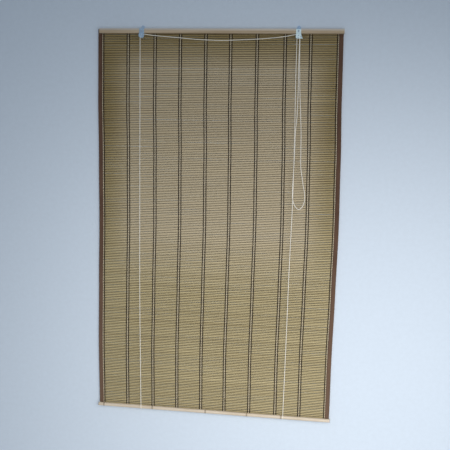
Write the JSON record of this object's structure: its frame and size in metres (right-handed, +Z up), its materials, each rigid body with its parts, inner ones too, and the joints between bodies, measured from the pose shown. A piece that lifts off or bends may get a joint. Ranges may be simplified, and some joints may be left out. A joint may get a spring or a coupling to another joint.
{
  "type": "rattan roll-up blind",
  "caption": "Roll-up blind of reed slats twined on warp threads, hung from a wooden headrail and rolled up on a cane by a cord, pulley and cord lock.",
  "frame": {"origin": "midway between the two hanging holes, on the wall plane at the back of the hanging tabs", "axes": "+X right seen from the room, -Y into the room, +Z up"},
  "size_m": [1.007, 0.034, 1.6341],
  "materials": {
    "batten_wood": "planed pale wood, lightly sealed",
    "reed": "split reed, matt with fine fibres",
    "cane": "natural bamboo, satin skin",
    "brown_thread": "twisted brown yarn",
    "cream_thread": "twisted cream yarn",
    "binding_tape": "woven brown tape",
    "zinc_plate": "bluish zinc plate",
    "bright_zinc": "bright zinc plate",
    "rivet_steel": "plain steel",
    "roller_steel": "serrated steel",
    "screw_steel": "plain steel",
    "staple_wire": "galvanised wire",
    "pulley_nylon": "moulded nylon",
    "cord": "braided cotton cord"
  },
  "bodies": {
    "blind": {"headrail": "batten_wood", "headrail_staples": "staple_wire", "slat_mat": "reed", "brown_warp_threads": "brown_thread", "cream_warp_threads": "cream_thread", "left_binding": "binding_tape", "right_binding": "binding_tape", "hanger_screws": "screw_steel", "left_hanger": "zinc_plate", "left_front_cheek": "zinc_plate", "left_axle": "rivet_steel", "left_spacer": "rivet_steel", "lock_hanger": "bright_zinc", "lock_front_cheek": "bright_zinc", "lock_axle": "rivet_steel", "lock_spacer": "rivet_steel", "left_front_run": "cord", "left_back_run": "cord", "crossing_cord": "cord", "pull_loop": "cord", "right_front_run": "cord", "right_back_run": "cord", "cord_end_knots": "cord", "cord_anchor_staples": "staple_wire"},
    "lift_slings": {"left_sling": "cord", "right_sling": "cord"},
    "roll_rod": {"bottom_rod": "cane", "rod_staples": "staple_wire"},
    "left_pulley": {"left_pulley": "pulley_nylon"},
    "lock_pulley": {"lock_pulley": "pulley_nylon"},
    "lock_pin": {"lock_pin": "rivet_steel"},
    "lock_roller": {"lock_roller": "roller_steel"}
  },
  "joints": [
    {"name": "lift", "type": "slide", "parent": "blind", "child": "lift_slings", "axis": [0, 0, 1], "range_m": [0, 1.52], "deforming": ["slat_mat", "brown_warp_threads", "cream_warp_threads", "left_binding", "right_binding", "left_front_run", "left_back_run", "right_front_run", "right_back_run"]},
    {"name": "rod_roll", "type": "hinge", "parent": "lift_slings", "child": "roll_rod", "pos_m": [0, -0.0175, -1.6175], "axis": [1, 0, 0], "continuous": true},
    {"name": "left_pulley_spin", "type": "hinge", "parent": "blind", "child": "left_pulley", "pos_m": [-0.32, -0.0281, -0.0355], "axis": [0, 1, 0], "continuous": true},
    {"name": "lock_pulley_spin", "type": "hinge", "parent": "blind", "child": "lock_pulley", "pos_m": [0.32, -0.0281, -0.0355], "axis": [0, 1, 0], "continuous": true},
    {"name": "lock_pin_slide", "type": "slide", "parent": "blind", "child": "lock_pin", "axis": [-0.4789, 0, 0.8779], "range_m": [0, 0.00501]},
    {"name": "lock_roller_spin", "type": "hinge", "parent": "lock_pin", "child": "lock_roller", "pos_m": [0.332, -0.0281, -0.0415], "axis": [0, 1, 0], "continuous": true}
  ],
  "couplings": [
    {"joint": "rod_roll", "follows": "lift", "rad_per_m": -40},
    {"joint": "left_pulley_spin", "follows": "lift", "rad_per_m": 370},
    {"joint": "lock_pulley_spin", "follows": "lift", "rad_per_m": 370}
  ]
}
